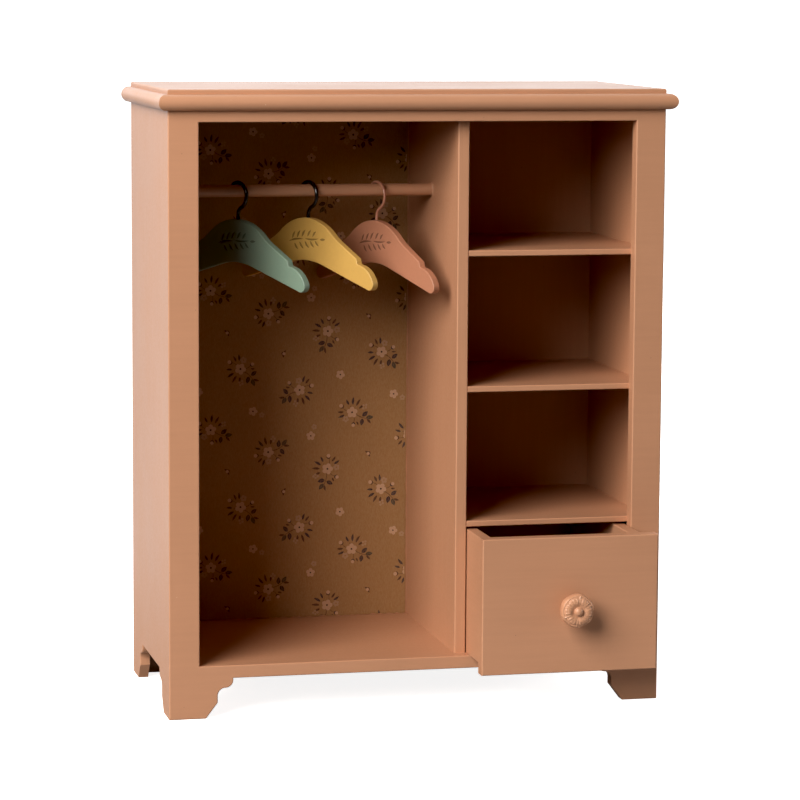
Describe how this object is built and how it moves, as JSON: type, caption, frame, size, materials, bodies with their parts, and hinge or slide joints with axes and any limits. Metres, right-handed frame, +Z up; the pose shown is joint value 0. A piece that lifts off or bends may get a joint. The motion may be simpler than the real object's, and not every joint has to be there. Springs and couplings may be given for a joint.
{
  "type": "miniature wardrobe",
  "caption": "Dolls' house wardrobe on bracket feet with a hanging bay and rod, open shelves, a drawer with a rosette knob, a cornice and loose coat hangers.",
  "frame": {"origin": "On the floor under the middle of the whole object at rest, with the drawer pulled out 17.5 mm and its knob counted.", "axes": "+X to the viewer's right when facing the open front, +Y from the front to the back board, +Z up from the feet."},
  "size_m": [0.26, 0.1596, 0.3085],
  "materials": {
    "terracotta_paint": "satin paint on board",
    "rod_paint": "satin paint on a dowel",
    "drawer_board": "satin paint on thin board",
    "floral_paper": "matt printed paper",
    "knob_paint": "satin paint on a moulded rosette",
    "steel": "plain",
    "green_paint": "satin paint",
    "yellow_paint": "satin paint",
    "pink_paint": "satin paint",
    "black_wire": "gloss lacquer",
    "pink_wire": "satin paint"
  },
  "bodies": {
    "carcass": {"front_frame": "terracotta_paint", "side_panel_left": "terracotta_paint", "side_panel_right": "terracotta_paint", "top_panel": "terracotta_paint", "cornice_front": "terracotta_paint", "cornice_left": "terracotta_paint", "cornice_right": "terracotta_paint", "floor_board": "terracotta_paint", "divider": "terracotta_paint", "shelf_lower": "terracotta_paint", "shelf_middle": "terracotta_paint", "shelf_upper": "terracotta_paint", "back_board": "terracotta_paint", "back_paper": "floral_paper", "back_pins": "steel", "hanging_rod": "rod_paint", "drawer_guide_right": "terracotta_paint"},
    "drawer": {"drawer_front": "terracotta_paint", "drawer_side_left": "terracotta_paint", "drawer_side_right": "terracotta_paint", "drawer_back": "terracotta_paint", "drawer_bottom": "drawer_board", "drawer_knob": "knob_paint", "knob_screw": "steel"},
    "hook_green": {"hanger_hook_green": "black_wire"},
    "hanger_green": {"hanger_board_green": "green_paint"},
    "hook_yellow": {"hanger_hook_yellow": "black_wire"},
    "hanger_yellow": {"hanger_board_yellow": "yellow_paint"},
    "hook_pink": {"hanger_hook_pink": "pink_wire"},
    "hanger_pink": {"hanger_board_pink": "pink_paint"}
  },
  "joints": [
    {"name": "drawer_slide", "type": "slide", "parent": "carcass", "child": "drawer", "axis": [0, -1, 0], "range_m": [-0.0172, 0.0575]},
    {"name": "green_hook_slide", "type": "slide", "parent": "carcass", "child": "hook_green", "axis": [1, 0, 0], "range_m": [-0.01, 0.009]},
    {"name": "green_hanger_swivel", "type": "hinge", "parent": "hook_green", "child": "hanger_green", "pos_m": [-0.0795, 0.02185, 0.236], "axis": [0, 0, 1], "range_deg": [-9, 3]},
    {"name": "yellow_hook_slide", "type": "slide", "parent": "carcass", "child": "hook_yellow", "axis": [1, 0, 0], "range_m": [-0.009, 0.009]},
    {"name": "yellow_hanger_swivel", "type": "hinge", "parent": "hook_yellow", "child": "hanger_yellow", "pos_m": [-0.0434, 0.02185, 0.236], "axis": [0, 0, 1], "range_deg": [-7.2, 5.3]},
    {"name": "pink_hook_slide", "type": "slide", "parent": "carcass", "child": "hook_pink", "axis": [1, 0, 0], "range_m": [-0.009, 0.0022]},
    {"name": "pink_hanger_swivel", "type": "hinge", "parent": "hook_pink", "child": "hanger_pink", "pos_m": [-0.008, 0.02185, 0.236], "axis": [0, 0, 1], "range_deg": [-1.5, 6]}
  ]
}
